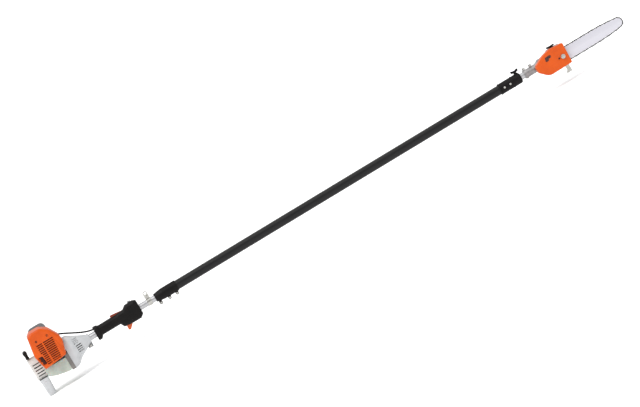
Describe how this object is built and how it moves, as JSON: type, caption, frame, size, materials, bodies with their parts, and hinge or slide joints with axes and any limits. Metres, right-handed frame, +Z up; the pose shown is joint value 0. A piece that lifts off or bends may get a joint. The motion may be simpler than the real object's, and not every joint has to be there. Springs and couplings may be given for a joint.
{
  "type": "telescoping pole saw",
  "caption": "Petrol pole saw: rear engine, control handle, telescoping tube with clamp knob, and a small chain saw head with guide bar and chain.",
  "frame": {"origin": "centre of the support foot's flat underside", "axes": "+X along the pole towards the saw, +Y to the left, +Z up"},
  "size_m": [2.669, 0.204, 0.254],
  "materials": {
    "orange_plastic": "moulded satin",
    "pale_plastic": "moulded satin",
    "black_plastic": "moulded fine grain",
    "grey_plastic": "moulded",
    "black_rubber": "moulded",
    "black_coated_tube": "satin powder coat",
    "bare_aluminium": "drawn satin",
    "cast_aluminium": "die cast",
    "bright_steel": "zinc plated or ground",
    "dark_steel": "oiled",
    "filter_paper": "pleated",
    "starter_cord": "braided"
  },
  "bodies": {
    "root": {"carburettor": "cast_aluminium", "carrying_eye": "bright_steel", "casing_screws": "bright_steel", "clamp_block": "black_plastic", "clamp_screws": "bright_steel", "crankcase": "cast_aluminium", "cylinder": "bare_aluminium", "drive_tube": "bare_aluminium", "engine_shroud": "orange_plastic", "fan_housing": "pale_plastic", "filter_cover": "black_plastic", "filter_element": "filter_paper", "filter_housing": "black_plastic", "front_clamp": "black_plastic", "fuel_tank": "pale_plastic", "handle_shell_left": "black_plastic", "handle_shell_right": "black_plastic", "muffler": "dark_steel", "outer_tube": "black_coated_tube", "piston": "bare_aluminium", "plug_boot": "black_rubber", "rear_clamp": "black_plastic", "rewind_spring": "dark_steel", "rubber_buffer": "black_rubber", "shaft_bearings": "bright_steel", "spark_plug": "bright_steel", "starter_housing": "pale_plastic", "support_foot": "pale_plastic", "throttle_cable": "black_rubber", "tube_bushes": "black_plastic"},
    "starter_grip": {"starter_grip": "black_plastic", "starter_rope": "starter_cord"},
    "starter_pulley": {"starter_pulley": "black_plastic"},
    "crank": {"crankshaft": "dark_steel", "flywheel_fan": "cast_aluminium", "clutch_shoes": "dark_steel"},
    "drive_rear": {"clutch_drum": "dark_steel", "drive_shaft_rear": "dark_steel"},
    "choke_lever": {"choke_lever": "black_plastic"},
    "primer_bulb": {"primer_bulb": "black_rubber"},
    "fuel_cap": {"fuel_cap": "black_plastic"},
    "throttle_trigger": {"throttle_trigger": "orange_plastic"},
    "throttle_lockout": {"throttle_lockout": "orange_plastic"},
    "stop_switch": {"stop_switch": "grey_plastic"},
    "wing_knob": {"wing_knob": "black_plastic"},
    "telescope": {"inner_tube": "bare_aluminium", "inner_bushes": "black_plastic", "gear_housing": "cast_aluminium", "head_screws": "bright_steel", "sprocket_cover": "orange_plastic", "guide_bar": "bright_steel", "saw_chain": "dark_steel", "branch_hook": "bare_aluminium"},
    "drive_front": {"drive_shaft_front": "dark_steel"},
    "sprocket": {"bevel_gear": "dark_steel", "drive_sprocket": "dark_steel"},
    "oil_cap": {"oil_cap": "black_plastic"},
    "bar_nut": {"bar_nut": "bright_steel"},
    "chain_tensioner": {"chain_tensioner": "bright_steel"},
    "nose_sprocket": {"nose_sprocket": "dark_steel"}
  },
  "joints": [
    {"name": "telescope_slide", "type": "slide", "parent": "root", "child": "telescope", "axis": [1, 0, 0], "range_m": [0, 1.2]},
    {"name": "wing_knob_turn", "type": "hinge", "parent": "root", "child": "wing_knob", "pos_m": [2.178, 0, 0.14], "axis": [0, 0, 1], "range_deg": [0, 360]},
    {"name": "throttle_trigger_pull", "type": "hinge", "parent": "root", "child": "throttle_trigger", "pos_m": [0.412, 0, 0.088], "axis": [0, 1, 0], "range_deg": [0, 15], "stiffness_Nm_per_rad": 0.6, "springref_deg": -28.65},
    {"name": "throttle_lockout_press", "type": "hinge", "parent": "root", "child": "throttle_lockout", "pos_m": [0.386, 0, 0.1335], "axis": [0, -1, 0], "range_deg": [0, 6], "stiffness_Nm_per_rad": 0.5, "springref_deg": -22.92},
    {"name": "stop_switch_slide", "type": "slide", "parent": "root", "child": "stop_switch", "axis": [1, 0, 0], "range_m": [0, 0.006]},
    {"name": "choke_lever_turn", "type": "hinge", "parent": "root", "child": "choke_lever", "pos_m": [0.099, 0.086, 0.14], "axis": [0, 1, 0], "range_deg": [0, 60]},
    {"name": "primer_press", "type": "slide", "parent": "root", "child": "primer_bulb", "axis": [0, -1, 0], "range_m": [0, 0.005], "stiffness_N_per_m": 600, "springref_m": -0.002},
    {"name": "fuel_cap_turn", "type": "hinge", "parent": "root", "child": "fuel_cap", "pos_m": [0.049, 0.06, 0.076], "axis": [0, 1, 0], "range_deg": [0, 360]},
    {"name": "starter_pull", "type": "slide", "parent": "root", "child": "starter_grip", "axis": [0, 0, 1], "range_m": [0, 0.6], "stiffness_N_per_m": 15, "springref_m": -0.5, "deforming": ["starter_rope"]},
    {"name": "starter_pulley_turn", "type": "hinge", "parent": "root", "child": "starter_pulley", "pos_m": [-0.0145, 0, 0.112], "axis": [-1, 0, 0], "range_deg": [0, 1640]},
    {"name": "crank_turn", "type": "hinge", "parent": "root", "child": "crank", "pos_m": [0.072, 0, 0.112], "axis": [1, 0, 0], "continuous": true},
    {"name": "drive_turn", "type": "hinge", "parent": "root", "child": "drive_rear", "pos_m": [1.2, 0, 0.112], "axis": [1, 0, 0], "continuous": true},
    {"name": "drive_front_turn", "type": "hinge", "parent": "telescope", "child": "drive_front", "pos_m": [1.5, 0, 0.112], "axis": [1, 0, 0], "continuous": true},
    {"name": "sprocket_turn", "type": "hinge", "parent": "telescope", "child": "sprocket", "pos_m": [2.318, 0, 0.112], "axis": [0, 1, 0], "continuous": true},
    {"name": "nose_sprocket_turn", "type": "hinge", "parent": "telescope", "child": "nose_sprocket", "pos_m": [2.623, -0.034, 0.1016], "axis": [0, 1, 0], "continuous": true},
    {"name": "oil_cap_turn", "type": "hinge", "parent": "telescope", "child": "oil_cap", "pos_m": [2.35, 0, 0.148], "axis": [0, 0, 1], "range_deg": [0, 360]},
    {"name": "bar_nut_turn", "type": "hinge", "parent": "telescope", "child": "bar_nut", "pos_m": [2.366, -0.06, 0.1016], "axis": [0, -1, 0], "range_deg": [0, 1080]},
    {"name": "chain_tensioner_turn", "type": "hinge", "parent": "telescope", "child": "chain_tensioner", "pos_m": [2.349, -0.03, 0.1016], "axis": [0, 1, 0], "range_deg": [0, 720]}
  ],
  "couplings": [
    {"joint": "starter_pulley_turn", "follows": "starter_pull", "rad_per_m": 47.619},
    {"joint": "drive_front_turn", "follows": "drive_turn", "ratio": 1},
    {"joint": "sprocket_turn", "follows": "drive_turn", "ratio": -0.66667},
    {"joint": "nose_sprocket_turn", "follows": "drive_turn", "ratio": -0.44444}
  ]
}
